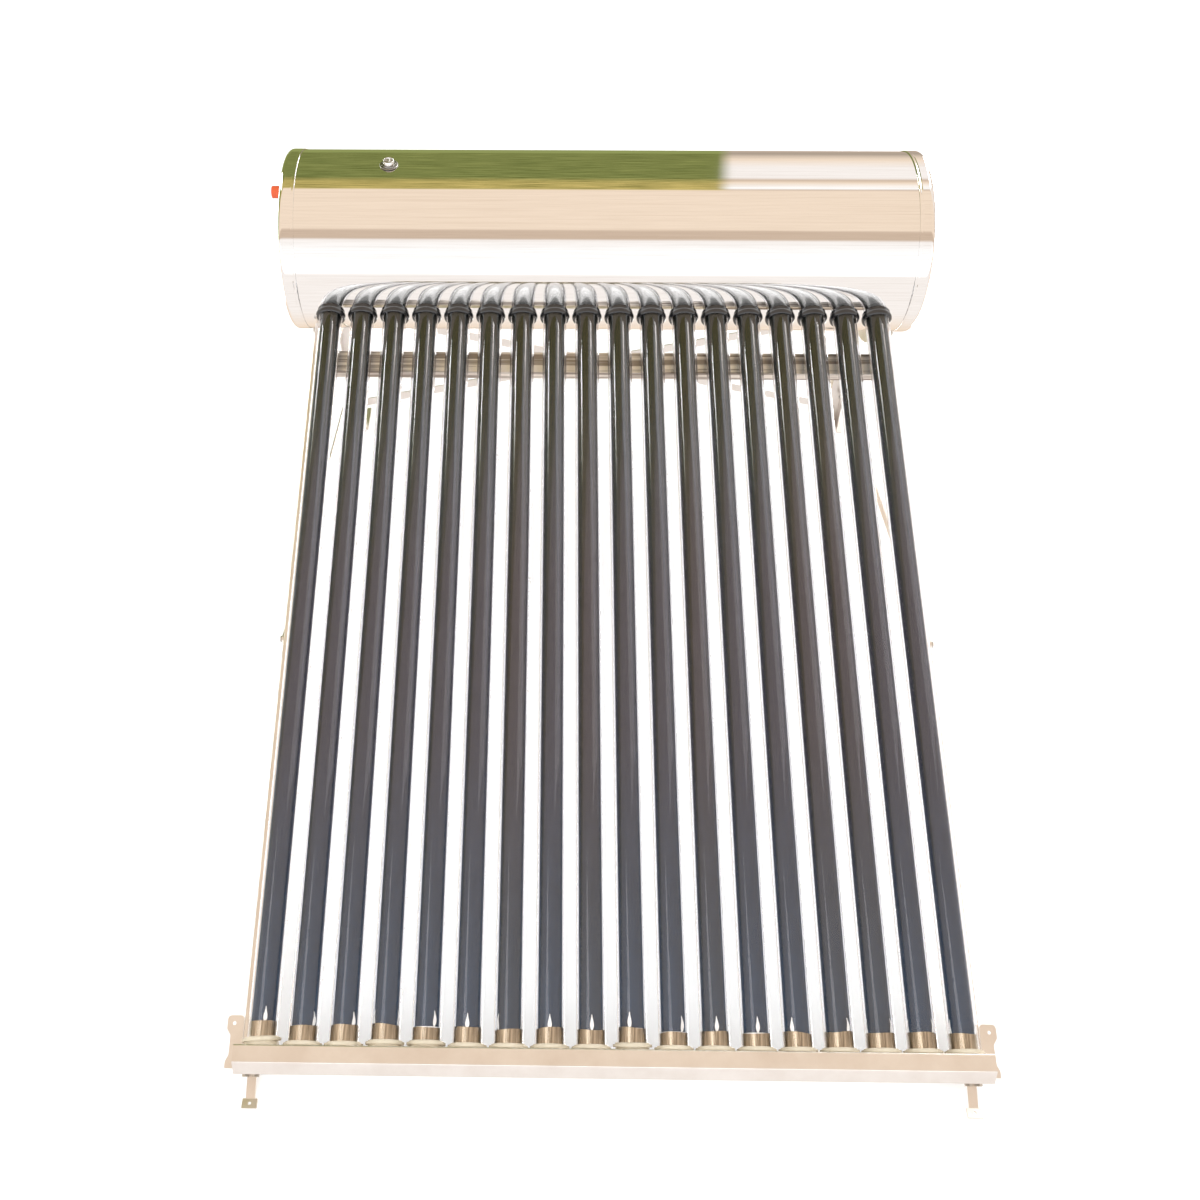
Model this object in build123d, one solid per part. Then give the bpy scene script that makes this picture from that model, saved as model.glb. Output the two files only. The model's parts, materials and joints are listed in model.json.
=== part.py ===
from build123d import *
import math
import os

# A low-tilt evacuated-tube solar water heater: a horizontal insulated tank, a row of glass tubes
# that run down from it to a bottom tray, and a bolted stainless frame with rear legs and an X brace.

# ---------------------------------------------------------------- driving dimensions (mm, degrees)
slope_angle = 18.0            # the tubes' fall from the horizontal
axis_height = 705.0           # tank axis above the ground

tube_count = 18
tube_pitch = 80.0
tube_radius = 29.0
tube_length = 1800.0
absorber_radius = 23.5
glass_wall = 1.6
tube_tip = 1968.0             # from the tank axis to the tip of a seated tube
tube_lift = {1: 8.0, 4: 4.0, 5: 4.0, 10: 6.0}      # tubes that stand in cups not pushed fully home
cup_lean = {1: (2.0, 4.0), 10: (4.5, 0.0)}          # how those cups lean, about X and out of plane

tank_half = 792.0             # half the tank's length over its end caps
cap_radius = 225.8
cap_flange = 39.0
cap_corner = 13.0
sheet = 1.4
shell_radius = cap_radius - sheet - 0.4
inner_radius = 185.0
inner_half = tank_half - 50.0
inner_corner = 30.0
running_gap = 0.08            # a tube in its seal, and a cap on its nipple
part_gap = 0.3                # between pieces that lie against each other
casing_half = tank_half - cap_corner - part_gap

seal_bore = tube_radius + running_gap
seal_start = inner_radius - 11.0
seal_end = inner_radius + 4.0
seal_radius = 32.8
vessel_hole = 33.0
shell_hole = 34.0
ring_bore = tube_radius + 0.8
ring_radius = 37.0
ring_start = 216.0            # dust ring's neck, from the tank axis
ring_bulge = 237.0            # middle of its thick rim
ring_end = 245.0

nipple_radius = 13.2          # three-quarter inch pipe thread
nipple_bore = 10.0
vent_x = -529.0
vent_angle = 104.5            # from the tubes' direction, round the tank
vent_seat = shell_radius + 4.2
vent_top = vent_seat + 11.0
washer_radius = 22.5
grommet_radius = 21.0
port_height = 139.0           # end ports above and below the tank axis
port_reach = tank_half + 34.5
port_cap_radius = 15.5
port_cap_end = tank_half + 38.0

side_x = 707.0                # middle of each side frame
channel_width = 40.0
channel_wall = 2.0
bend_radius = 3.0             # outside of a sheet's folds
rail_face = -45.0             # rail's upper face, measured out of the tubes' plane
rail_depth = 30.0
rail_top = 228.0
rail_end = 1993.0
leg_front = 78.0              # rear leg, behind the tank axis
leg_back = 114.0
leg_top = axis_height - 216.0

saddle_width = 36.0
saddle_rim = 254.0            # outer radius of a saddle's flanges
saddle_front = 12.5           # saddle's ends, as angles round the tank from the tubes' direction
saddle_back = 90.0 - slope_angle + 25.0

cross_rail_start = 310.0
cross_rail_end = 372.0

tray_half = 726.0
tray_web = 1950.0
tray_front = 40.0
tray_face = 32.0              # its upper face and its sloping face, down the tubes
tray_slant = 20.0
tray_drop = 26.0              # the sloping face's fall
tray_lip = 12.0               # returned edge
tray_end = tray_web + 44.0
tray_bolts = (tray_web + 10.0, tray_web + 27.0)
tray_back = rail_face + 0.1
cup_radius = 33.0
cup_bore = 31.5
cup_rim = 38.0

lug_top = 1889.0
lug_drop = 15.0               # from the lug's top edge to its hole
lug_hole = 3.5
lug_fold = 1945.0             # start of the edge that is folded down along the rail
lug_end = 1988.0
lug_width = 33.0
lug_waist = 25.0
lug_plate = 2.5
lug_inner = side_x + channel_width / 2 + part_gap
lug_hole_x = lug_inner + 19.0

brace_height = axis_height - 482.0
brace_rise = 166.0
brace_width = 25.0
brace_thickness = 3.0
side_brace_height = 110.0
side_brace_down = 1080.0

foot_plate = 3.0
foot_tab = 45.0               # tab bolted to the rail's lower end
foot_strap = 18.0
foot_pad = (30.0, 19.0)
base_plate = (64.0, 98.0)     # under each rear leg
front_foot_tip = -1936.0
front_hole = front_foot_tip + 9.5
rear_hole = 142.0
anchor_hole = 3.3

bolt_radius = 4.0
bolt_hole = 4.5
hex_radius = 7.5              # bolt heads and nuts, over their corners
hex_height = 5.5

# ---------------------------------------------------------------- frames of reference
fall = math.radians(slope_angle)
down_slope = Vector(0, -math.cos(fall), -math.sin(fall))
off_slope = Vector(0, -math.sin(fall), math.cos(fall))
tank_centre = Vector(0, 0, axis_height)

# Sloped pieces are drawn as (x, out of the tubes' plane, distance down the tubes from the tank axis).
slope = Plane(origin=tank_centre, x_dir=(1, 0, 0), z_dir=down_slope).location
# Tank pieces are turned about Z and then laid along X.
lay_along_x = Pos(0, 0, axis_height) * Rot(0, 90, 0)
UPRIGHT = (Align.CENTER, Align.CENTER, Align.MIN)

pieces = {}


def slope_point(x, off, down):
    """World point of a place given in the sloped frame."""
    return tank_centre + Vector(x, 0, 0) + off_slope * off + down_slope * down


def block(low, high):
    """Box between two corners."""
    size = [b - a for a, b in zip(low, high)]
    return Pos(*low) * Box(*size, align=(Align.MIN, Align.MIN, Align.MIN))


def turned(outline):
    """Solid of revolution about Z from a closed line in the XZ plane."""
    return revolve(make_face(Plane.XZ * outline), axis=Axis.Z)


def ring(inner, outer, start, end):
    """Plain washer or sleeve about Z."""
    blank = Cylinder(outer, end - start, align=UPRIGHT) - Cylinder(inner, end - start, align=UPRIGHT)
    return Pos(0, 0, start) * blank


def folded(points, thickness, inside=Side.LEFT):
    """Section of a sheet folded along a line of points, with its thickness on one side of them."""
    line = FilletPolyline(*points, radius=bend_radius)
    return make_face(offset(line, amount=thickness, side=inside))


def tube_x(number):
    """Sideways place of tube 1 to tube_count."""
    return (number - (tube_count + 1) / 2) * tube_pitch


def along_tubes(solid):
    """The same solid repeated on every tube's axis."""
    return [slope * Pos(tube_x(n), 0, 0) * solid for n in range(1, tube_count + 1)]


def tube_holes(radius, start, end):
    """Round cutters on every tube's axis."""
    return along_tubes(Pos(0, 0, start) * Cylinder(radius, end - start, align=UPRIGHT))


def radial(angle):
    """Frame whose Z leaves the tank axis at an angle round it from the tubes' direction."""
    return slope * Rot(-angle, 0, 0)


# ---------------------------------------------------------------- evacuated tubes
def evacuated_tube(number):
    """Two glass tubes fused at the open end, with the support clip between their round ends."""
    lift = tube_lift.get(number, 0.0)
    mouth = tube_tip - tube_length
    outer_centre = tube_tip - tube_radius
    inner_centre = outer_centre - 14.0

    def round_end(radius, centre):
        return CenterArc((0, centre), radius, 0, 90)

    outer_inside = tube_radius - glass_wall
    bore = absorber_radius - glass_wall
    outline = [
        Line((tube_radius, mouth), (tube_radius, outer_centre)),
        round_end(tube_radius, outer_centre),
        Line((0, outer_centre + tube_radius), (0, outer_centre + outer_inside)),
        round_end(outer_inside, outer_centre),
        Line((outer_inside, outer_centre), (outer_inside, mouth + 3)),
        Line((outer_inside, mouth + 3), (absorber_radius, mouth + 3)),
        Line((absorber_radius, mouth + 3), (absorber_radius, inner_centre)),
        round_end(absorber_radius, inner_centre),
        Line((0, inner_centre + absorber_radius), (0, inner_centre + bore)),
        round_end(bore, inner_centre),
        Line((bore, inner_centre), (bore, mouth)),
        Line((bore, mouth), (tube_radius, mouth)),
    ]
    glass = turned(Curve() + outline)
    clip = ring(absorber_radius + part_gap, outer_inside - part_gap, inner_centre - 20, inner_centre - 12)
    place = slope * Pos(tube_x(number), 0, -lift)
    return [place * glass, place * clip]


# ---------------------------------------------------------------- tank
def vessel(radius, half_length, corner):
    """Solid drum with rounded edges, laid along the tank axis."""
    drum = Pos(0, 0, -half_length) * Cylinder(radius, 2 * half_length, align=UPRIGHT)
    return lay_along_x * fillet(drum.edges().filter_by(GeomType.CIRCLE), corner)


def end_port(side, radius, start, end):
    """Round bar on an end port's axis: the hot outlet is above the tank axis, the cold inlet below."""
    height = axis_height + port_height * (1 if side < 0 else -1)
    bar = Cylinder(radius, end - start, align=UPRIGHT)
    return Pos(side * start, 0, height) * Rot(0, 90 * side, 0) * bar


def vent_bar(radius, start, end):
    """Round bar on the vent port's axis."""
    return radial(vent_angle) * Pos(vent_x, 0, start) * Cylinder(radius, end - start, align=UPRIGHT)


def port_cutters(radius):
    """Cutters for the three pipe ports."""
    return [
        vent_bar(radius, inner_radius - 20, shell_radius + 20),
        end_port(-1, radius, inner_half - 20, tank_half + 20),
        end_port(1, radius, inner_half - 20, tank_half + 20),
    ]


def inner_tank():
    """Welded stainless vessel that holds the water."""
    drum = vessel(inner_radius, inner_half, inner_corner)
    hollow = vessel(inner_radius - sheet, inner_half - sheet, inner_corner - sheet)
    holes = tube_holes(vessel_hole, inner_radius - 85, inner_radius + 20)
    return drum - hollow - holes - port_cutters(nipple_radius + 0.2)


def insulation_foam():
    """Foam that fills the space between the vessel and the outer casing."""
    radius = shell_radius - sheet - part_gap
    blank = lay_along_x * Pos(0, 0, -casing_half) * Cylinder(radius, 2 * casing_half, align=UPRIGHT)
    blank -= vessel(inner_radius + part_gap, inner_half + part_gap, inner_corner)
    blank -= tube_holes(tube_radius + 2.0, seal_start - 40, shell_radius + 20)
    blank -= tube_holes(seal_radius + 3.2, seal_start - 24, seal_end + 3)
    blank -= tube_holes(shell_hole + 0.5, ring_start - 2, shell_radius + 20)
    return blank - port_cutters(nipple_radius + 0.5)


def outer_shell():
    """Polished casing sheet, with a hole for every tube and one for the vent."""
    drum = lay_along_x * ring(shell_radius - sheet, shell_radius, -casing_half, casing_half)
    vent_hole = vent_bar(nipple_radius + 0.4, seal_start, shell_radius + 20)
    return drum - tube_holes(shell_hole, seal_start, shell_radius + 20) - vent_hole


def end_cap(side):
    """Pressed cover that slips over the end of the casing."""
    inside = cap_radius - sheet
    outline = [
        Line((0, tank_half), (cap_radius - cap_corner, tank_half)),
        CenterArc((cap_radius - cap_corner, tank_half - cap_corner), cap_corner, 90, -90),
        Line((cap_radius, tank_half - cap_corner), (cap_radius, tank_half - cap_flange)),
        Line((cap_radius, tank_half - cap_flange), (inside, tank_half - cap_flange)),
        Line((inside, tank_half - cap_flange), (inside, tank_half - cap_corner)),
        CenterArc((cap_radius - cap_corner, tank_half - cap_corner), cap_corner - sheet, 0, 90),
        Line((cap_radius - cap_corner, tank_half - sheet), (0, tank_half - sheet)),
        Line((0, tank_half - sheet), (0, tank_half)),
    ]
    cover = lay_along_x * turned(Curve() + outline)
    if side < 0:
        cover = cover.mirror(Plane.YZ)
    return cover - end_port(side, nipple_radius + 0.4, tank_half - 20, tank_half + 20)


def tube_seal():
    """Grooved silicone ring that seals a tube in the vessel wall."""
    body = ring(seal_bore, seal_radius, seal_start, seal_end)
    inner_lip = ring(seal_radius - 0.3, seal_radius + 2.2, seal_start, seal_start + 4.5)
    outer_lip = ring(seal_radius - 0.3, seal_radius + 2.7, inner_radius + part_gap, seal_end)
    return body + inner_lip + outer_lip


def dust_ring():
    """Rubber collar in the casing hole, with a thick rounded rim that hides the hole."""
    neck = shell_hole - 0.3
    back = 2 * ring_bulge - ring_end
    outline = [
        Line((ring_bore, ring_start), (neck, ring_start)),
        Line((neck, ring_start), (neck, back)),
        ThreePointArc((neck, back), (ring_radius, ring_bulge), (neck - 1.5, ring_end)),
        Line((neck - 1.5, ring_end), (ring_bore, ring_end)),
        Line((ring_bore, ring_end), (ring_bore, ring_start)),
    ]
    return turned(Curve() + outline)


def vent_nipple():
    """Open pipe stub welded to the vessel and threaded above the casing."""
    stub = vent_bar(nipple_radius - 0.4, inner_radius - 3, vent_seat)
    thread = vent_bar(nipple_radius, vent_seat - 0.1, vent_top)
    return stub + thread - vent_bar(nipple_bore, inner_radius - 10, vent_top + 10)


def vent_washer():
    """Flat ring that closes the casing round the vent."""
    flat = vent_bar(washer_radius, shell_radius + 0.2, vent_seat)
    return flat - vent_bar(nipple_radius, shell_radius - 10, vent_seat + 10)


def end_nipple(side):
    """Threaded pipe stub through one end of the tank."""
    stub = end_port(side, nipple_radius, inner_half - 5, port_reach)
    return stub - end_port(side, nipple_bore, inner_half - 10, port_reach + 10)


def end_grommet(side):
    """Moulded collar round a nipple, on the end cap."""
    collar = end_port(side, grommet_radius, tank_half + 0.1, tank_half + 4)
    return collar - end_port(side, nipple_radius + 0.1, tank_half - 5, tank_half + 10)


def port_cap(side):
    """Moulded cap pushed over an end port's nipple."""
    cap = end_port(side, port_cap_radius, tank_half + 7, port_cap_end)
    grip = end_port(side, port_cap_radius + 1.5, tank_half + 7, tank_half + 11)
    return cap + grip - end_port(side, nipple_radius + running_gap, tank_half + 6, port_reach + 0.5)


# ---------------------------------------------------------------- frame
def channel(width, depth):
    """Section of a folded channel, its web on the X axis and its flanges towards -Y."""
    half = width / 2
    return folded([(-half, -depth), (-half, 0), (half, 0), (half, -depth)], channel_wall, Side.RIGHT)


def strap(start, end, normal, width, thickness):
    """Flat bar with round ends between two bolt holes, lying on the plane through them."""
    span = end - start
    lie = Plane(origin=(start + end) * 0.5, x_dir=span, z_dir=normal).location
    return lie * extrude(SlotCenterToCenter(span.length, width), thickness)


def side_rail(side):
    """Sloping channel under the outermost tube, with a plate that closes its lower end."""
    bar = Pos(0, 0, rail_top) * extrude(channel(channel_width, rail_depth), rail_end - rail_top)
    half = channel_width / 2 - channel_wall / 2
    plate = block((-half, -rail_depth, rail_end - channel_wall), (half, -channel_wall / 2, rail_end))
    return slope * Pos(side * side_x, rail_face, 0) * (bar + plate)


def rear_leg(side):
    """Upright channel behind the tank axis, its web to the rear."""
    bar = extrude(channel(channel_width, leg_back - leg_front), leg_top - foot_plate)
    return Pos(side * side_x, leg_back, foot_plate) * bar


def saddle(side):
    """Curved channel that cradles the casing and joins the rail to the rear leg."""
    half = saddle_width / 2
    seat = shell_radius + part_gap
    section = folded([(-half, saddle_rim), (-half, seat), (half, seat), (half, saddle_rim)], channel_wall)
    arc = revolve(Plane.XZ * section, axis=Axis.X, revolution_arc=saddle_back - saddle_front)
    return slope * Pos(side * side_x, 0, 0) * Rot(saddle_front, 0, 0) * arc


def upper_cross_rail():
    """Channel across the frame just below the tank, closed by a plate at each side rail."""
    half = side_x - channel_width / 2 - part_gap
    height = cross_rail_end - cross_rail_start
    section = channel(height, rail_depth - 4)
    bar = Plane.YZ * Rot(0, 0, -90) * section
    bar = Pos(0, rail_face, (cross_rail_start + cross_rail_end) / 2) * extrude(bar, half, both=True)
    for side in (-1, 1):
        ends = sorted((side * half, side * (half - channel_wall)))
        bar += block(
            (ends[0], rail_face - rail_depth + 4, cross_rail_start + 1),
            (ends[1], rail_face - 1, cross_rail_end - 1),
        )
    return slope * bar


def brace_end(side, up):
    """Bolt hole of the X brace on a rear leg's web."""
    return Vector(side * side_x, leg_back + part_gap, brace_height + up * brace_rise)


def brace_strip(rising):
    """One flat strip of the X brace; the second lies behind the first."""
    layer = Vector(0, 0 if rising > 0 else brace_thickness + part_gap, 0)
    return strap(brace_end(-1, -rising) + layer, brace_end(1, rising) + layer,
                 (0, 1, 0), brace_width, brace_thickness)


def side_brace_ends(side):
    """Bolt holes of a side brace, on the rear leg and on the rail."""
    outside = side * (side_x + channel_width / 2 + part_gap)
    on_leg = Vector(outside, (leg_front + leg_back) / 2, side_brace_height)
    on_rail = slope_point(outside, rail_face - rail_depth / 2, side_brace_down)
    return on_leg, on_rail


def side_brace(side):
    """Flat bar on the outside of a side frame, from the rear leg to the rail."""
    return strap(*side_brace_ends(side), (side, 0, 0), brace_width, brace_thickness)


def tube_tray():
    """Folded bottom tray whose web holds the tubes' cups."""
    fold = tray_web + tray_face
    lip = fold + tray_slant
    outline = [
        (tray_back, tray_end), (tray_back, tray_web), (tray_front, tray_web), (tray_front, fold),
        (tray_front - tray_drop, lip), (tray_front - tray_drop - tray_lip, lip - 2),
    ]
    bar = extrude(Plane.YZ * folded(outline, sheet), tray_half, both=True)
    return slope * bar - tube_holes(cup_radius + 1.4, tray_web - 20, tray_web + 20)


def tail_cup(number):
    """Moulded cup that carries the round end of a tube."""
    rim_top = tray_web - 9
    floor = tube_tip + 0.6
    outline = Polyline(
        (0, floor + 4), (cup_radius, floor + 4), (cup_radius, tray_web - 0.5), (cup_rim, tray_web - 0.5),
        (cup_rim, rim_top + 3), (cup_rim - 3, rim_top), (cup_bore, rim_top), (cup_bore, floor), (0, floor),
        close=True,
    )
    lift = tube_lift.get(number, 0.0)
    lean = Pos(0, 0, tray_web) * Rot(*cup_lean.get(number, (0, 0)), 0) * Pos(0, 0, -tray_web)
    return slope * Pos(tube_x(number), 0, -lift) * lean * turned(outline)


def anchor_lug(side):
    """Angle plate on the outside of the rail, with one hole beside the tray."""
    outer = lug_inner + lug_width
    waist = lug_inner + lug_waist
    top = rail_face - 0.1
    outline = Polyline(
        (lug_inner, lug_end), (lug_inner, lug_top), (outer, lug_top), (outer, lug_top + 26),
        (waist, lug_top + 38), (waist, lug_fold + 18), (outer - 2, lug_fold + 30), (outer - 2, lug_end),
        close=True,
    )
    face = make_face(outline)
    face = fillet(face.vertices().sort_by(Axis.Y)[:2], 8)
    face -= Pos(lug_hole_x, lug_top + lug_drop) * Circle(lug_hole)
    plate = Pos(0, top, 0) * Rot(90, 0, 0) * extrude(face, lug_plate)
    plate += block((lug_inner, rail_face - rail_depth + 4, lug_fold), (lug_inner + lug_plate, top - 1, lug_end))
    return slope * (plate if side > 0 else mirror(plate, about=Plane.YZ))


def on_slope(y, z):
    """A world place in the middle plane, as (out of the tubes' plane, down the tubes)."""
    place = Vector(0, y, z) - tank_centre
    return place.dot(off_slope), place.dot(down_slope)


def front_foot(side):
    """Bent strap from the rail's lower end to a pad on the ground."""
    middle = side * side_x
    tab_low = rail_face - rail_depth
    start = rail_end + part_gap
    tab = slope * block(
        (middle - foot_tab / 2, tab_low, start), (middle + foot_tab / 2, rail_face - 3, start + foot_plate)
    )
    pad_length = foot_pad[1]
    knee = on_slope(front_foot_tip + pad_length, 0)
    tip = on_slope(front_foot_tip + 2, 0)
    outline = [(rail_face - 10, start), (tab_low + 2, start), knee, tip]
    section = Plane.YZ * folded(outline, foot_plate, Side.RIGHT)
    strip = slope * Pos(middle, 0, 0) * extrude(section, foot_strap / 2, both=True)
    pad = Pos(middle, front_foot_tip + pad_length / 2, 0) * Box(*foot_pad, foot_plate, align=UPRIGHT)
    return tab + strip + pad - Pos(middle, front_hole, 0) * Cylinder(anchor_hole, 40)


def rear_foot(side):
    """Base plate under a rear leg, with an anchor hole behind the leg."""
    middle = Pos(side * side_x, (leg_front + rear_hole) / 2, 0)
    plate = middle * Box(*base_plate, foot_plate - 0.1, align=UPRIGHT)
    return plate - Pos(side * side_x, rear_hole, 0) * Cylinder(anchor_hole, 40)


# ---------------------------------------------------------------- fasteners
def fasten(head, direction, grip, *joined):
    """Bolt and nut at a place on the outside of the pieces they join; drills those pieces."""
    lay = Plane(origin=head, z_dir=direction).location
    hexagon = extrude(RegularPolygon(hex_radius, 6), hex_height)
    shank = Pos(0, 0, -0.1) * Cylinder(bolt_radius, grip + hex_height + 3, align=UPRIGHT)
    nut_hole = Pos(0, 0, -1) * Cylinder(bolt_radius + 0.1, hex_height + 2, align=UPRIGHT)
    pieces["frame_bolts"].append(lay * (Pos(0, 0, -hex_height - 0.1) * hexagon + shank))
    pieces["frame_nuts"].append(lay * Pos(0, 0, grip + 0.1) * (hexagon - nut_hole))
    drill = lay * Pos(0, 0, -1) * Cylinder(bolt_hole, grip + 2, align=UPRIGHT)
    for name in joined:
        pieces[name] = [solid - drill for solid in pieces[name]]


def fasten_side(side, rail, leg, cradle):
    """Bolts of the saddle, on the rail and on the rear leg."""
    outer = side * (side_x + channel_width / 2)
    inward = Vector(-side, 0, 0)
    fasten(slope_point(outer, rail_face - 16, rail_top + 9), inward, channel_width, rail, cradle)
    fasten(Vector(outer, leg_front + 14, leg_top - 13), inward, channel_width, leg, cradle)


def fasten_braces(side, rail, leg, brace):
    """Bolts of the side brace and of the X brace's two ends on one rear leg."""
    inward = Vector(-side, 0, 0)
    grip = brace_thickness + part_gap + channel_wall
    for hole, piece in zip(side_brace_ends(side), (leg, rail)):
        fasten(hole + Vector(side * brace_thickness, 0, 0), inward, grip, brace, piece)
    for up in (-1, 1):
        strip, depth = "brace_strip_rear", 2 * brace_thickness + part_gap
        if up == side:
            strip, depth = "brace_strip_front", brace_thickness
        place = brace_end(side, up) + Vector(0, depth, 0)
        fasten(place, Vector(0, -1, 0), depth + part_gap + channel_wall, strip, leg)


def fasten_slope(side, rail, lug, foot):
    """Bolts of the cross rail, the tray, the lug plate and the front foot on one side rail."""
    outward, inwards = Vector(side, 0, 0), off_slope * -1
    plate = side * (side_x - channel_width / 2 - part_gap - channel_wall)
    for down in (cross_rail_start + 16, cross_rail_end - 16):
        fasten(slope_point(plate, rail_face - 15, down), outward, 2 * channel_wall + part_gap,
               "upper_cross_rail", rail)
    for down in tray_bolts:
        fasten(slope_point(side * side_x, tray_back + sheet, down), inwards, sheet + 0.1 + channel_wall,
               "tube_tray", rail)
    outside = slope_point(side * (lug_inner + lug_plate), rail_face - 16, (lug_fold + lug_end) / 2)
    fasten(outside, outward * -1, lug_plate + part_gap + channel_wall, lug, rail)
    for x in (side_x - 10, side_x + 10):
        place = slope_point(side * x, rail_face - 14, rail_end + part_gap + foot_plate)
        fasten(place, down_slope * -1, foot_plate + part_gap + channel_wall, rail, foot)


def fasten_frame():
    """All the frame's bolts."""
    pieces["frame_bolts"] = []
    pieces["frame_nuts"] = []
    for side, end in ((-1, "left"), (1, "right")):
        rail, leg = f"side_rail_{end}", f"rear_leg_{end}"
        fasten_side(side, rail, leg, f"saddle_{end}")
        fasten_braces(side, rail, leg, f"side_brace_{end}")
        fasten_slope(side, rail, f"anchor_lug_{end}", f"front_foot_{end}")
    crossing = 2 * brace_thickness + part_gap
    middle = brace_end(0, 0) + Vector(0, crossing, 0)
    fasten(middle, Vector(0, -1, 0), crossing, "brace_strip_front", "brace_strip_rear")


# ---------------------------------------------------------------- assembly
def build():
    """Every piece, by node name, as a list of solids standing on the ground under the tank."""
    numbers = range(1, tube_count + 1)
    for number in numbers:
        pieces[f"evacuated_tube_{number:02d}"] = evacuated_tube(number)
    pieces["inner_tank"] = [inner_tank()]
    pieces["insulation_foam"] = [insulation_foam()]
    pieces["outer_shell"] = [outer_shell()]
    pieces["tube_seals"] = along_tubes(tube_seal())
    pieces["dust_rings"] = along_tubes(dust_ring())
    pieces["vent_nipple"] = [vent_nipple()]
    pieces["vent_washer"] = [vent_washer()]
    pieces["upper_cross_rail"] = [upper_cross_rail()]
    pieces["brace_strip_front"] = [brace_strip(1)]
    pieces["brace_strip_rear"] = [brace_strip(-1)]
    pieces["tube_tray"] = [tube_tray()]
    pieces["tail_cups"] = [tail_cup(number) for number in numbers]
    pieces["port_grommets"] = [end_grommet(-1), end_grommet(1)]
    pieces["hot_outlet_nipple"] = [end_nipple(-1)]
    pieces["cold_inlet_nipple"] = [end_nipple(1)]
    for side, end in ((-1, "left"), (1, "right")):
        pieces[f"end_cap_{end}"] = [end_cap(side)]
        pieces[f"port_cap_{end}"] = [port_cap(side)]
        pieces[f"saddle_{end}"] = [saddle(side)]
        pieces[f"side_rail_{end}"] = [side_rail(side)]
        pieces[f"rear_leg_{end}"] = [rear_leg(side)]
        pieces[f"side_brace_{end}"] = [side_brace(side)]
        pieces[f"anchor_lug_{end}"] = [anchor_lug(side)]
        pieces[f"front_foot_{end}"] = [front_foot(side)]
        pieces[f"rear_foot_{end}"] = [rear_foot(side)]
    fasten_frame()


build()

# The origin is on the ground, under the middle of the whole heater.
box = Compound(children=[solid for group in pieces.values() for solid in group]).bounding_box()
origin_shift = Vector(0, -(box.min.Y + box.max.Y) / 2, 0)

os.makedirs("parts", exist_ok=True)
for name, group in pieces.items():
    solids = [s for piece in group for s in piece.moved(Location(origin_shift)).solids()]
    export_step(Compound(children=solids), f"parts/{name}.step")
print("pieces", len(pieces), "size", box.size, "shift", origin_shift)
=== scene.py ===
# Looks of the solar water heater: mirror-polished tank, evacuated glass tubes, moulded cups and a
# bright stainless frame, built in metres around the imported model.
import json
import math
import random

import bmesh
import bpy
from mathutils import Matrix, Vector


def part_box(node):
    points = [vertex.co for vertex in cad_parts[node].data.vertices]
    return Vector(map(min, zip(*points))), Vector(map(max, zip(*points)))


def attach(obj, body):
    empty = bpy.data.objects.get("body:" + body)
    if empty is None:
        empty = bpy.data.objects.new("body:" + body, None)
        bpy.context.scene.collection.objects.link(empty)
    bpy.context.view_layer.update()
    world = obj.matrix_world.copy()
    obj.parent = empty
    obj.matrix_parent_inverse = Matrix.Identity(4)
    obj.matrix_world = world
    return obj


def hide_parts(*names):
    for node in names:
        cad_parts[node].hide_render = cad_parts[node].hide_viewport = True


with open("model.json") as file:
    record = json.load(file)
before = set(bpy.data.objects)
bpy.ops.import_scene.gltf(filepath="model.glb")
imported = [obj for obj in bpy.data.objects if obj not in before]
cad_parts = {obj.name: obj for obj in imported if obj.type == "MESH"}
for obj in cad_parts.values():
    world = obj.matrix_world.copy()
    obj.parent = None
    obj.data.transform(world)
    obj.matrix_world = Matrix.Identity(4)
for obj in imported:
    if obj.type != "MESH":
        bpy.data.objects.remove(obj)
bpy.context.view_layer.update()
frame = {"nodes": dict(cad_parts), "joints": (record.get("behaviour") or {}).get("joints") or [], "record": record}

# ---------------------------------------------------------------- places, from the frame
HEATER = "heater"
TUBE_COUNT = 18
MM = 0.001
joints = {joint["name"]: joint for joint in frame["joints"]}
up_slope = Vector(joints["tube_01_slide"]["axis"]).normalized()
down_slope = -up_slope
off_slope = Vector((1, 0, 0)).cross(up_slope)
shell_low, shell_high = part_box("outer_shell")
tank_axis = (shell_low + shell_high) / 2
shell_radius = (shell_high.z - shell_low.z) / 2
shell_half = (shell_high.x - shell_low.x) / 2
cap_low, cap_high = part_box("end_cap_right")
cap_radius = (cap_high.z - cap_low.z) / 2
cap_end = cap_high.x


def spread(node, direction):
    """Least and greatest distance of a node from the tank axis, along a direction."""
    places = [(v.co - tank_axis).dot(direction) for v in frame["nodes"][node].data.vertices]
    return min(places), max(places)


def sloped(x, off=0.0, down=0.0):
    """Frame whose X is the row's X and whose Z runs down the tubes, at a place on the slope."""
    turn = Matrix((Vector((1, 0, 0)), off_slope, down_slope)).transposed().to_4x4()
    place = tank_axis + off_slope * off + down_slope * down
    return Matrix.Translation(Vector((x, place.y, place.z))) @ turn


# ---------------------------------------------------------------- mesh helpers
def add_object(name, mesh, place=None, body=HEATER, material=None):
    """Puts a finished mesh in the scene, riding on a body."""
    piece = bpy.data.objects.new(name, mesh)
    bpy.context.scene.collection.objects.link(piece)
    if place is not None:
        piece.matrix_world = place
    if material is not None:
        mesh.materials.clear()
        mesh.materials.append(material)
    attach(piece, body)
    return piece


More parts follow.
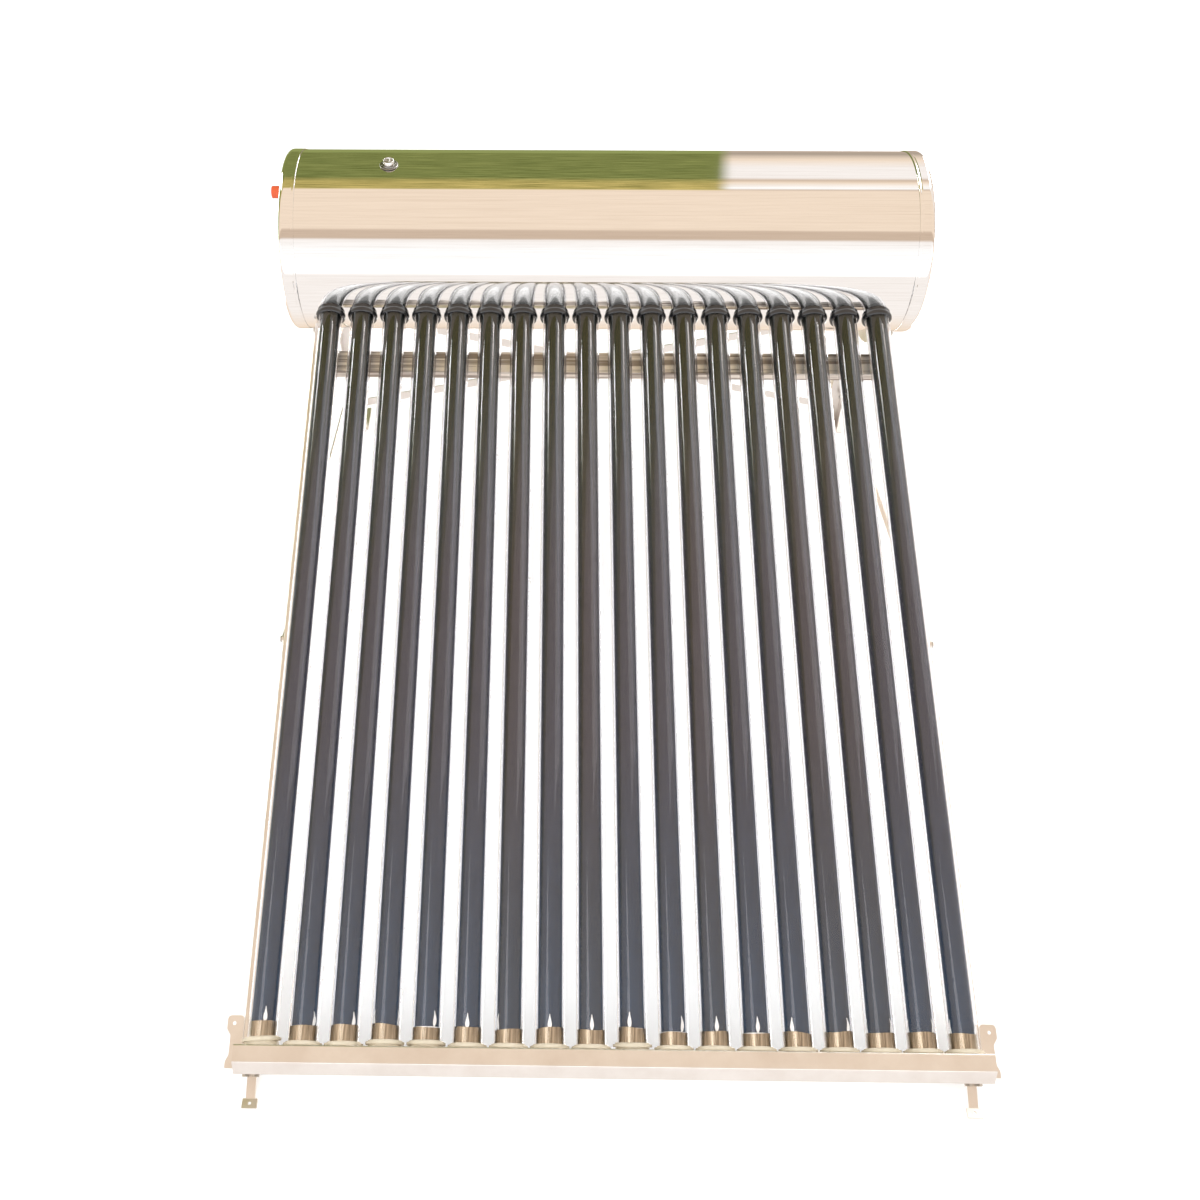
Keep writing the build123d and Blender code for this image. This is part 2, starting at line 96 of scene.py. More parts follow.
def lathe_into(bm, outline, segments, place=None, wobble=None):
    """Adds a surface of revolution about Z. The outline is a closed loop of (radius, z)."""
    rings = []
    for radius, z in outline:
        if radius < 1e-7:
            rings.append([bm.verts.new((0, 0, z))])
            continue
        ring = []
        for k in range(segments):
            angle = 2 * math.pi * k / segments
            shift = wobble(angle, radius, z) if wobble else 0.0
            ring.append(bm.verts.new((radius * math.cos(angle), radius * math.sin(angle), z + shift)))
        rings.append(ring)
    made = [v for ring in rings for v in ring]
    for a, b in zip(rings, rings[1:] + rings[:1]):
        if len(a) == 1 and len(b) == 1:
            continue
        for k in range(segments):
            n = (k + 1) % segments
            if len(a) == 1:
                bm.faces.new((a[0], b[n], b[k]))
            elif len(b) == 1:
                bm.faces.new((a[k], a[n], b[0]))
            else:
                bm.faces.new((a[k], a[n], b[n], b[k]))
    if place is not None:
        bmesh.ops.transform(bm, matrix=place, verts=made)


def finish_mesh(bm, name, sharp_angle=35):
    """Turns a bmesh into a mesh with outward faces, shaded smooth up to an edge angle."""
    bmesh.ops.recalc_face_normals(bm, faces=bm.faces)
    mesh = bpy.data.meshes.new(name)
    for face in bm.faces:
        face.smooth = True
    for edge in bm.edges:
        edge.smooth = not (len(edge.link_faces) == 2
                           and edge.calc_face_angle(0) > math.radians(sharp_angle))
    bm.to_mesh(mesh)
    bm.free()
    return mesh


def lathe(name, outline, segments=64, sharp_angle=35, wobble=None):
    """Mesh of revolution about Z."""
    bm = bmesh.new()
    lathe_into(bm, outline, segments, wobble=wobble)
    return finish_mesh(bm, name, sharp_angle=sharp_angle)


def arc(centre, radius, start, end, steps):
    """Points (radius, z) of an arc, with angles in degrees from the radial direction towards +Z."""
    points = []
    for k in range(steps + 1):
        angle = math.radians(start + (end - start) * k / steps)
        points.append((centre[0] + radius * math.cos(angle), centre[1] + radius * math.sin(angle)))
    return points


# ---------------------------------------------------------------- material helpers
def srgb(red, green, blue):
    """Linear colour from display values of 0 to 255."""
    return tuple((value / 255) ** 2.2 for value in (red, green, blue))


class Nodes:
    """Short ways to add nodes to a tree."""

    def __init__(self, tree):
        self.tree = tree

    def node(self, kind, **values):
        node = self.tree.nodes.new(kind)
        for name, value in values.items():
            if isinstance(value, bpy.types.NodeSocket):
                self.tree.links.new(value, node.inputs[name.replace("_", " ")])
            elif name.replace("_", " ") in node.inputs:
                node.inputs[name.replace("_", " ")].default_value = value
            else:
                setattr(node, name, value)
        return node

    def math(self, operation, *terms):
        """Result of a math node on sockets or numbers."""
        node = self.node("ShaderNodeMath", operation=operation)
        for socket, term in zip(node.inputs, terms):
            if isinstance(term, bpy.types.NodeSocket):
                self.tree.links.new(term, socket)
            else:
                socket.default_value = term
        return node.outputs[0]

    def noise(self, vector, scale, detail=3.0, roughness=0.5):
        node = self.node("ShaderNodeTexNoise", Vector=vector, Scale=scale, Detail=detail, Roughness=roughness)
        return node.outputs["Fac"]

    def ramp(self, value, stops):
        """Colour ramp; stops are (position, colour)."""
        node = self.node("ShaderNodeValToRGB", Fac=value)
        elements = node.color_ramp.elements
        while len(elements) < len(stops):
            elements.new(1.0)
        for element, (position, colour) in zip(elements, stops):
            element.position = position
            element.color = (*colour, 1)
        return node.outputs["Color"]

    def levels(self, value, low, high, start=0.0, end=1.0):
        """Spreads a value of start..end over low..high."""
        node = self.node("ShaderNodeMapRange", Value=value)
        for name, limit in (("From Min", start), ("From Max", end), ("To Min", low), ("To Max", high)):
            node.inputs[name].default_value = limit
        return node.outputs["Result"]

    def blend(self, share, first, second, kind="MIX"):
        """Colour blend of two sockets or colours."""
        node = self.node("ShaderNodeMix", data_type="RGBA", blend_type=kind)
        colours = [socket for socket in node.inputs if socket.type == "RGBA"]
        for socket, value in zip([node.inputs[0]] + colours, (share, first, second)):
            if isinstance(value, bpy.types.NodeSocket):
                self.tree.links.new(value, socket)
            elif isinstance(value, tuple):
                socket.default_value = (*value, 1)
            else:
                socket.default_value = value
        return next(socket for socket in node.outputs if socket.type == "RGBA")


class Paint(Nodes):
    """A material: one Principled shader and the nodes that feed it."""

    def __init__(self, name, **inputs):
        self.material = bpy.data.materials.new(name)
        self.material.use_nodes = True
        super().__init__(self.material.node_tree)
        self.shader = self.tree.nodes["Principled BSDF"]
        for name, value in inputs.items():
            self.shader.inputs[name.replace("_", " ")].default_value = value

    def link(self, output, name):
        self.tree.links.new(output, self.shader.inputs[name])

    def coordinates(self, scale=(1, 1, 1), rotation=(0, 0, 0)):
        """Object coordinates, stretched and turned."""
        source = self.node("ShaderNodeTexCoord").outputs["Object"]
        mapping = self.node("ShaderNodeMapping", Vector=source)
        mapping.inputs["Scale"].default_value = scale
        mapping.inputs["Rotation"].default_value = rotation
        return mapping.outputs["Vector"]

    def bump(self, height, strength, distance):
        node = self.node("ShaderNodeBump", Height=height, Strength=strength, Distance=distance)
        self.link(node.outputs["Normal"], "Normal")


def polished_steel():
    """Mirror-polished casing sheet: slight waviness, faint polishing lines and fingerprints."""
    paint = Paint("polished_casing", Metallic=1.0, Roughness=0.03)
    fine = paint.noise(paint.coordinates(scale=(0.25, 6, 6)), 40, 4)
    smudge = paint.noise(paint.coordinates(), 7, 3)
    paint.link(paint.ramp(fine, [(0.3, (0.93, 0.915, 0.90)), (0.7, (0.97, 0.96, 0.95))]), "Base Color")
    paint.link(paint.levels(smudge, 0.01, 0.05), "Roughness")
    paint.bump(paint.noise(paint.coordinates(scale=(0.5, 1, 1)), 5, 1), 0.05, 0.004)
    return paint.material


def frame_steel(name, turn=0.0, roughness=(0.26, 0.42), ribs=False):
    """Bright stainless sheet with rolled grain along one direction and faint stains; with ribs, painted shade in
    dark bands along the sheet.
    """
    paint = Paint(name, Metallic=1.0, Roughness=0.3)
    grain = paint.noise(paint.coordinates(scale=(3, 90, 90), rotation=(0, 0, turn)), 6, 4)
    stain = paint.noise(paint.coordinates(), 9, 5, 0.6)
    colour = paint.ramp(stain, [(0.25, (0.80, 0.74, 0.69)), (0.75, (0.95, 0.92, 0.89))])
    if ribs:
        # Painted shade: dark bands along the sheet between pale ones.
        painted_shade_bands = paint.noise(paint.coordinates(scale=(0.02, 1, 1)), 75, 2, 0.6)
        painted_shade_bands = paint.ramp(painted_shade_bands, [(0.42, (0.38, 0.34, 0.31)), (0.54, (0.95, 0.93, 0.9))])
        colour = paint.blend(1.0, colour, painted_shade_bands, "MULTIPLY")
    paint.link(colour, "Base Color")
    paint.link(paint.levels(grain, *roughness), "Roughness")
    paint.bump(grain, 0.12, 0.0004)
    return paint.material


def metal(name, light, dark, roughness=(0.3, 0.5), scale=220.0):
    """Plain grey metal with small crystals or wear."""
    paint = Paint(name, Metallic=1.0)
    spots = paint.noise(paint.coordinates(), scale, 3)
    paint.link(paint.ramp(spots, [(0.3, dark), (0.7, light)]), "Base Color")
    paint.link(paint.levels(spots, *roughness), "Roughness")
    paint.bump(spots, 0.08, 0.0002)
    return paint.material


def moulded(name, light, dark, roughness, scale=60.0, depth=0.0002, **inputs):
    """Moulded plastic or rubber with slight mottling and surface texture."""
    paint = Paint(name, **inputs)
    mottle = paint.noise(paint.coordinates(), scale, 4, 0.6)
    paint.link(paint.ramp(mottle, [(0.25, dark), (0.75, light)]), "Base Color")
    paint.link(paint.levels(mottle, *roughness), "Roughness")
    paint.bump(paint.noise(paint.coordinates(), scale * 8, 2), 0.2, depth)
    return paint.material


def clear_glass():
    """Borosilicate outer tube with a trace of dust."""
    paint = Paint("borosilicate", Transmission_Weight=1.0, IOR=1.47, Roughness=0.01)
    dust = paint.noise(paint.coordinates(scale=(1, 1, 0.15)), 90, 4, 0.6)
    paint.link(paint.ramp(dust, [(0.3, (0.985, 0.98, 0.99)), (0.8, (0.93, 0.93, 0.95))]), "Base Color")
    paint.link(paint.levels(dust, 0.0, 0.04), "Roughness")
    return paint.material


def absorber_coat(name, tint):
    """Dark selective coating with fine grain; its own slate blue shows at the tip, and a painted reflection
    darkens it to near black at the mouth.
    """
    paint = Paint(name, Metallic=0.3, Specular_IOR_Level=0.3)
    length = paint.node("ShaderNodeSeparateXYZ", Vector=paint.coordinates()).outputs["Z"]
    # Painted reflection along the tube: darker towards the mouth, slate blue towards the tip.
    painted_reflection_tone = paint.ramp(paint.levels(length, 0, 1, 0.0, 1.8), [
        (0.05, srgb(30, 34, 31)), (0.12, srgb(38, 41, 40)),
        (0.25, srgb(55, 57, 63)), (0.45, srgb(55, 54, 65)),
        (0.65, srgb(54, 55, 68)), (0.85, srgb(52, 63, 80)), (1.0, srgb(52, 69, 90)),
    ])
    streak = paint.noise(paint.coordinates(scale=(60, 60, 1.2)), 12, 5, 0.65)
    speck = paint.noise(paint.coordinates(scale=(1, 1, 0.6)), 280, 3, 0.7)
    grain = paint.math("ADD", paint.math("MULTIPLY", streak, 0.35), paint.math("MULTIPLY", speck, 0.65))
    shade = paint.ramp(grain, [(0.40, (0.80, 0.80, 0.80)), (0.60, (1.02, 1.02, 1.02))])
    colour = paint.blend(1.0, painted_reflection_tone, shade, "MULTIPLY")
    paint.link(paint.blend(1.0, colour, tint, "MULTIPLY"), "Base Color")
    paint.link(paint.levels(streak, 0.3, 0.45), "Roughness")
    paint.bump(grain, 0.3, 0.00008)
    return paint.material


def getter_mirror():
    """Silvery film inside the round end, streaked lengthwise, with its colour painted a warm tan all over as a
    painted reflection of the cup.
    """
    paint = Paint("getter_film", Metallic=1.0)
    streak = paint.noise(paint.coordinates(scale=(70, 70, 2)), 8, 4)
    # Warm tan base colour: painted reflection of the cup.
    paint.link(paint.ramp(streak, [(0.35, srgb(126, 112, 92)), (0.65, srgb(206, 190, 165))]), "Base Color")
    paint.link(paint.levels(streak, 0.25, 0.4), "Roughness")
    paint.bump(streak, 0.15, 0.0006)
    return paint.material


PAINTS = {
    "casing": polished_steel(),
    "sheet_across": frame_steel("sheet_grain_across"),
    # The cross rail's dark bands are painted shade.
    "sheet_painted_shade_bands": frame_steel("sheet_painted_shade_bands", roughness=(0.3, 0.45), ribs=True),
    "sheet_down": frame_steel("sheet_grain_down", turn=math.radians(90)),
    "tank": metal("mill_steel", (0.72, 0.71, 0.69), (0.55, 0.55, 0.54)),
    "pipe": metal("turned_steel", (0.74, 0.73, 0.70), (0.62, 0.61, 0.58), (0.22, 0.34), 40.0),
    "flange": metal("dull_flange", (0.36, 0.35, 0.33), (0.26, 0.25, 0.24), (0.3, 0.4), 40.0),
    "bolt": metal("plated_bolt", (0.78, 0.76, 0.72), (0.50, 0.49, 0.47), (0.25, 0.4)),
    # Near-white, barely metallic clip colour: painted glints on the clip's legs.
    "spring": moulded("spring_painted_glint", (0.97, 0.97, 0.96), (0.90, 0.90, 0.89), (0.25, 0.35), Metallic=0.1),
    "foam": moulded("cut_foam", (0.80, 0.70, 0.42), (0.66, 0.56, 0.30), (0.85, 0.95), 240, 0.001),
    "silicone": moulded("silicone", (0.78, 0.78, 0.75), (0.66, 0.66, 0.63), (0.4, 0.5)),
    "rubber": moulded("gloss_rubber", (0.020, 0.020, 0.022), (0.008, 0.008, 0.009), (0.14, 0.22),
                      60.0, 0.00005, Coat_Weight=0.7, Coat_Roughness=0.05),
    "grommet": moulded("moulded_collar", (0.05, 0.05, 0.052), (0.03, 0.03, 0.032), (0.4, 0.55)),
    "cup": moulded("moulded_cup", (0.70, 0.62, 0.48), (0.60, 0.52, 0.39), (0.32, 0.45)),
    "red": moulded("red_cap", (0.80, 0.13, 0.035), (0.66, 0.085, 0.02), (0.25, 0.36)),
    "glass": clear_glass(),
    "absorber": absorber_coat("selective_coating", (1.0, 1.0, 1.0)),
    "absorber_warm": absorber_coat("selective_coating_warm", (1.12, 0.98, 0.88)),
    "getter": getter_mirror(),
}


# ---------------------------------------------------------------- evacuated tubes
glass_radius = 29.0 * MM
glass_wall = 1.6 * MM
absorber_radius = 23.5 * MM
fused_end = 3.0 * MM
absorber_inset = 14.0 * MM     # the inner tube's round end stops short of the outer one's
getter_length = 54.0 * MM      # getter film's upper edge, from the tip
WARM_TUBES = (7, 9, 12, 15, 16)   # tubes whose coating came out browner
chance = random.Random(7)


def tube_meshes(length):
    """Meshes shared by all tubes: outer glass and coated inner tube, from the mouth to the tip."""
    outer_centre = length - glass_radius
    inner_centre = outer_centre - absorber_inset
    inside = glass_radius - glass_wall
    bore = absorber_radius - glass_wall
    lip = 2.2 * MM
    glass = [(glass_radius - lip * 0.5, 0.0), (glass_radius, lip * 0.5)]
    glass += arc((0, outer_centre), glass_radius, 0, 90, 24)
    glass += arc((0, outer_centre), inside, 90, 0, 24)
    glass += [(inside, fused_end + lip), (inside - lip, fused_end), (absorber_radius + lip * 0.2, fused_end),
              (absorber_radius + lip * 0.2, 0.0)]
    coated = [(absorber_radius, fused_end * 0.2)]
    coated += arc((0, inner_centre), absorber_radius, 0, 90, 20)
    coated += arc((0, inner_centre), bore, 90, 0, 20)
    coated += [(bore, fused_end * 0.2)]
    return lathe("outer_glass", glass, 96), lathe("coated_tube", coated, 96)


def getter_mesh(length):
    """Thin film on the inside of the round end, with its own slanted upper edge."""
    outer_centre = length - glass_radius
    outside = glass_radius - glass_wall - 0.1 * MM
    inside = outside - 0.25 * MM
    start = length - getter_length + chance.uniform(-3.5, 3.5) * MM
    slant = chance.uniform(0.5, 3.0) * MM
    phase = chance.uniform(0, 2 * math.pi)
    ripple = chance.uniform(0.3, 0.8) * MM

    def edge(angle, radius, z):
        if z > start + 1 * MM:
            return 0.0
        return slant * math.cos(angle + phase) + ripple * math.sin(3 * angle + 2 * phase)

    outline = [(outside, start)]
    outline += arc((0, outer_centre), outside, 0, 90, 16)
    outline += arc((0, outer_centre), inside, 90, 0, 16)
    outline += [(inside, start)]
    return lathe("getter_film", outline, 72, wobble=edge)


def clip_mesh(length):
    """Support clip: a band on the inner tube and three sprung legs that reach the outer glass."""
    bm = bmesh.new()
    band = length - glass_radius - absorber_inset
    band_start = band - 9 * MM
    inside, outside = absorber_radius + 0.2 * MM, absorber_radius + 0.7 * MM
    lathe_into(bm, [(inside, band_start), (outside, band_start), (outside, band), (inside, band)], 48)
    turn = chance.uniform(0, 2 * math.pi)
    leg_start, leg_end, rows = band - 38 * MM, band - 8 * MM, 10
    leg_sheet, legs = 0.4 * MM, 3
    for leg in range(legs):
        heading = turn + leg * 2 * math.pi / legs
        strips = []
        for k in range(rows + 1):
            t = k / rows
            half = (0.6 + 3.2 * math.sin(math.pi * t ** 1.6)) * MM
            lift = absorber_radius + (0.8 + 2.6 * math.sin(math.pi * t)) * MM
            z = leg_start + (leg_end - leg_start) * t
            row = []
            for layer in (0.0, leg_sheet):
                for edge in (-1, 1):
                    angle = heading + edge * half / lift
                    reach = lift + layer
                    row.append(bm.verts.new((reach * math.cos(angle), reach * math.sin(angle), z)))
            strips.append(row)
        for a, b in zip(strips, strips[1:]):
            for i, j in ((0, 1), (1, 3), (3, 2), (2, 0)):
                bm.faces.new((a[i], a[j], b[j], b[i]))
        for row in (strips[0], strips[-1]):
            bm.faces.new((row[0], row[1], row[3], row[2]))
    return finish_mesh(bm, "support_clip", sharp_angle=50)


def build_tubes():
    """All evacuated tubes, each riding on its own body."""
    mouth, tip = spread("evacuated_tube_02", down_slope)
    length = tip - mouth
    glass_mesh, coated_mesh = tube_meshes(length)
    coated_meshes = {"absorber": coated_mesh, "absorber_warm": coated_mesh.copy()}
    for number in range(1, TUBE_COUNT + 1):
        node = f"evacuated_tube_{number:02d}"
        body = f"tube_{number:02d}"
        low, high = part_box(node)
        start = spread(node, down_slope)[0]
        place = sloped((low.x + high.x) / 2, down=start)
        glass = add_object(f"tube_glass_{number:02d}", glass_mesh, place, body, PAINTS["glass"])
        glass.visible_shadow = False
        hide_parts(node)
        coating = "absorber_warm" if number in WARM_TUBES else "absorber"
        coated = add_object(f"tube_absorber_{number:02d}", coated_meshes[coating], place, body,
                            PAINTS[coating])
        coated.visible_shadow = False
        coated.visible_diffuse = False
        add_object(f"tube_getter_{number:02d}", getter_mesh(length), place, body,
                   PAINTS["getter"])
        # The clip's near-white paint is a painted highlight, standing in for glints on its legs.
        add_object(f"tube_clip_{number:02d}", clip_mesh(length), place, body, PAINTS["spring"])


# ---------------------------------------------------------------- tank
def lay_along_x():
    """Frame whose Z is the tank axis, pointing to +X."""
    return Matrix.Translation(tank_axis) @ Matrix.Rotation(math.radians(90), 4, "Y")


def set_round_normals(mesh, centre):
    """Exact radial normals on a drum's curved faces, so that the mirror finish has no facets."""
    normals = [corner.vector.copy() for corner in mesh.corner_normals]
    for face in mesh.polygons:
        if abs(face.normal.x) > 0.3:
            continue
        middle = Vector((0, face.center.y - centre.y, face.center.z - centre.z))
        if abs(face.normal.dot(middle.normalized())) < 0.97:
            continue
        sign = 1 if face.normal.dot(middle) > 0 else -1
        for k in face.loop_indices:
            place = mesh.vertices[mesh.loops[k].vertex_index].co
            normals[k] = Vector((0, place.y - centre.y, place.z - centre.z)).normalized() * sign
    mesh.normals_split_custom_set(normals)


def applied(piece):
    """A new mesh with the piece's modifiers applied."""
    graph = bpy.context.evaluated_depsgraph_get()
    graph.update()
    return bpy.data.meshes.new_from_object(piece.evaluated_get(graph))


def rod_outline(radius, length):
    """Outline of a plain rod from the origin up."""
    return [(0, 0), (radius, 0), (radius, length), (0, length)]


def build_casing():
    """Casing sheet with a hole for each tube and one for the vent."""
    sheet, vent_hole, tube_hole = 1.4 * MM, 13.6 * MM, 34.0 * MM
    cutter_start, cutter_length = 0.15, 0.12
    rows = 40
    outline = [(shell_radius, -shell_half + 2 * shell_half * k / rows) for k in range(rows + 1)]
    outline += [(shell_radius - sheet, shell_half), (shell_radius - sheet, -shell_half)]
    bm = bmesh.new()
    lathe_into(bm, outline, 256, lay_along_x())
    blank = bpy.data.objects.new("blank", finish_mesh(bm, "casing_sheet"))
    cutters = bmesh.new()
    for number in range(1, TUBE_COUNT + 1):
        low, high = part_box(f"evacuated_tube_{number:02d}")
        place = sloped((low.x + high.x) / 2, down=cutter_start)
        lathe_into(cutters, rod_outline(tube_hole, cutter_length), 64, place)
    lathe_into(cutters, rod_outline(vent_hole, cutter_length), 48, vent_frame(cutter_start))
    tool = bpy.data.objects.new("tool", finish_mesh(cutters, "hole_cutters"))
    for item in (blank, tool):
        bpy.context.scene.collection.objects.link(item)
    cut = blank.modifiers.new("holes", "BOOLEAN")
    cut.operation = "DIFFERENCE"
    cut.solver = "EXACT"
    cut.object = tool
    mesh = applied(blank)
    for item in (blank, tool):
        bpy.data.objects.remove(item)
    set_round_normals(mesh, tank_axis)
    casing = add_object("casing_sheet", mesh, None, HEATER, PAINTS["casing"])
    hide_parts("outer_shell")


def vent_frame(start):
    """Frame on the vent's axis, at a distance from the tank axis."""
    low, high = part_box("vent_nipple")
    mount = next(m for m in frame["record"]["mounts"] if m["name"] == "vent_pipe")
    axis = Vector(mount["axis"]).normalized()
    side = Vector((1, 0, 0))
    turn = Matrix((side, axis.cross(side), axis)).transposed().to_4x4()
    return Matrix.Translation(Vector(((low.x + high.x) / 2, tank_axis.y, tank_axis.z)) + axis * start) @ turn


def build_end_cap(side, end):
    """Pressed end cover: round corner, a raised bead near the open edge and a shallow dished face."""
    sheet = 1.4 * MM
    corner = 13.0 * MM
    flange = 39.0 * MM
    bead = 1.0 * MM
    half = cap_end
    open_edge = half - flange
    outline = [(0.0, half - 2.0 * MM), (0.06, half - 2.0 * MM), (0.10, half - 1.6 * MM)]
    outline += [(0.15, half - 0.7 * MM), (0.185, half - 0.15 * MM), (cap_radius - corner - 6 * MM, half)]
    outline += arc((cap_radius - corner, half - corner), corner, 90, 0, 14)
    outline += [(cap_radius, half - corner - 1 * MM), (cap_radius, open_edge + 10 * MM)]
    outline += [(cap_radius, open_edge + 9 * MM), (cap_radius - bead * 0.5, open_edge + 7.5 * MM)]
    outline += [(cap_radius - bead * 0.55, open_edge + 6 * MM), (cap_radius, open_edge + 4.5 * MM)]
    outline += [(cap_radius, open_edge + 0.4 * MM), (cap_radius - 0.4 * MM, open_edge)]
    inside = cap_radius - sheet
    outline += [(inside, open_edge), (inside, half - corner)]
    outline += arc((cap_radius - corner, half - corner), corner - sheet, 0, 90, 10)
    outline += [(0.185, half - sheet - 0.15 * MM), (0.15, half - sheet - 0.7 * MM)]
    outline += [(0.06, half - sheet - 2 * MM), (0.0, half - sheet - 2 * MM)]
    turn = Matrix.Rotation(math.radians(90 * side), 4, "Y")
    bm = bmesh.new()
    lathe_into(bm, outline, 256, Matrix.Translation(tank_axis) @ turn)
    piece = add_object(f"end_cover_{end}", finish_mesh(bm, f"end_cover_{end}", sharp_angle=60), None, HEATER,
                       PAINTS["casing"])
    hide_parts(f"end_cap_{end}")


def build_dust_rings():
    """Glossy collars with a thick round rim where each tube enters the casing."""
    bm = bmesh.new()
    neck, bore, start = 33.7 * MM, 29.8 * MM, 216.0 * MM
    centre, half_height, half_width = 237.2 * MM, 7.5 * MM, 5.5 * MM
    rim_radius, rim_start, rim_sweep, rim_steps = 31.5 * MM, -66, 176, 20
    rim = []
    for step in range(rim_steps + 1):
        angle = math.radians(rim_start + rim_sweep * step / rim_steps)
        rim.append((rim_radius + half_width * math.cos(angle), centre + half_height * math.sin(angle)))
    for number in range(1, TUBE_COUNT + 1):
        low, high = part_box(f"evacuated_tube_{number:02d}")
        outline = [(neck, start)] + rim + [(bore, centre + 6.9 * MM), (bore, start)]
        lathe_into(bm, outline, 56, sloped((low.x + high.x) / 2))
    piece = add_object("dust_collars", finish_mesh(bm, "dust_collars", sharp_angle=50), None, HEATER,
                       PAINTS["rubber"])
    piece.visible_glossy = False
    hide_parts("dust_rings")


def threaded(outer, start, end, pitch=1.81 * MM, depth=0.9 * MM):
    """Outline of a pipe thread between two heights, as closely spaced ridges."""
    points = [(outer - depth, start)]
    count = int((end - start) / pitch) - 1
    for k in range(count):
        z = start + (k + 0.5) * pitch
        points += [(outer - depth, z), (outer, z + 0.35 * pitch), (outer, z + 0.55 * pitch)]
        points += [(outer - depth, z + 0.9 * pitch)]
    points += [(outer - depth, end - 0.4 * MM), (outer - 1.6 * depth, end)]
    return points


def build_ports():
    """Smooth vent stub with its ring, and the two threaded end nipples with their red caps."""
    outer, bore = 13.2 * MM, 10.0 * MM
    base, seat, top = spread_on_vent()
    outline = [(12.8 * MM, base), (12.8 * MM, seat), (outer, seat), (outer, top - 0.8 * MM)]
    outline += [(outer - 0.8 * MM, top), (bore + 0.8 * MM, top), (bore, top - 0.8 * MM), (bore, base)]
    vent = add_object("vent_stub", lathe("vent_stub", outline, 64, 50), vent_frame(0), HEATER,
                      PAINTS["pipe"])
    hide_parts("vent_nipple")
    ring_low = shell_radius + 0.2 * MM
    ring = [(13.3 * MM, ring_low), (22.5 * MM, ring_low), (22.5 * MM, ring_low + 1.2 * MM)]
    ring += [(21.6 * MM, ring_low + 2.0 * MM), (17.0 * MM, ring_low + 2.2 * MM)]
    ring += [(16.2 * MM, ring_low + 4.0 * MM), (13.3 * MM, ring_low + 4.0 * MM)]
    washer = add_object("vent_flange", lathe("vent_flange", ring, 64, 40), vent_frame(0), HEATER,
                        PAINTS["flange"])
    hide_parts("vent_washer")
    for side, end, node in ((-1, "left", "hot_outlet_nipple"), (1, "right", "cold_inlet_nipple")):
        low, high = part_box(node)
        cap_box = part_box(f"port_cap_{end}")
        reach = max(abs(low.x), abs(high.x))
        inner = min(abs(low.x), abs(high.x))
        tip = max(abs(cap_box[0].x), abs(cap_box[1].x))
        rim = min(abs(cap_box[0].x), abs(cap_box[1].x))
        place = Matrix.Translation(Vector((0, (low.y + high.y) / 2, (low.z + high.z) / 2)))
        place = place @ Matrix.Rotation(math.radians(90 * side), 4, "Y")
        outline = [(outer, inner), (outer, cap_end + 6 * MM)] + threaded(outer, cap_end + 6 * MM, reach)
        outline += [(bore, reach), (bore, inner)]
        nipple = add_object(f"{node}_thread", lathe(node, outline, 64, 50), place, HEATER,
                            PAINTS["pipe"])
        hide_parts(node)
        add_port_cap(place, end, rim, tip, reach)


def spread_on_vent():
    """Vent stub's base, the height where it steps out to full width and its top, from the tank axis."""
    seat = shell_radius + 4.2 * MM
    frame_place = vent_frame(0).inverted()
    heights = [(frame_place @ v.co).z for v in frame["nodes"]["vent_nipple"].data.vertices]
    return min(heights), seat, max(heights)


def add_port_cap(place, end, rim, tip, reach):
    """Ribbed pull-off cap with a flared grip edge."""
    radius, grip, bore = 15.5 * MM, 17.0 * MM, 13.3 * MM
    corner = 1.8 * MM
    outline = [(bore, rim), (grip - 0.6 * MM, rim), (grip, rim + 0.6 * MM), (grip, rim + 3.2 * MM)]
    outline += [(grip - 0.8 * MM, rim + 4.0 * MM), (radius, rim + 4.4 * MM)]
    outline += [(radius, tip - corner)] + arc((radius - corner, tip - corner), corner, 0, 90, 6)
    outline += [(9.0 * MM, tip), (8.4 * MM, tip - 0.8 * MM), (0.0, tip - 0.8 * MM)]
    outline += [(0.0, reach + 0.5 * MM), (bore, reach + 0.5 * MM)]
    bm = bmesh.new()
    lathe_into(bm, outline, 72)
    ribs = 12
    for v in bm.verts:
        span = math.hypot(v.co.x, v.co.y)
        if abs(span - radius) < 0.1 * MM and v.co.z < tip - corner + 0.1 * MM:
            angle = math.atan2(v.co.y, v.co.x)
            factor = 1 - 0.035 * (0.5 + 0.5 * math.cos(ribs * angle)) ** 4
            v.co.x *= factor
            v.co.y *= factor
    cap = add_object(f"pull_cap_{end}", finish_mesh(bm, f"pull_cap_{end}", sharp_angle=45), place,
                     f"port_cap_{end}", PAINTS["red"])
    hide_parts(f"port_cap_{end}")


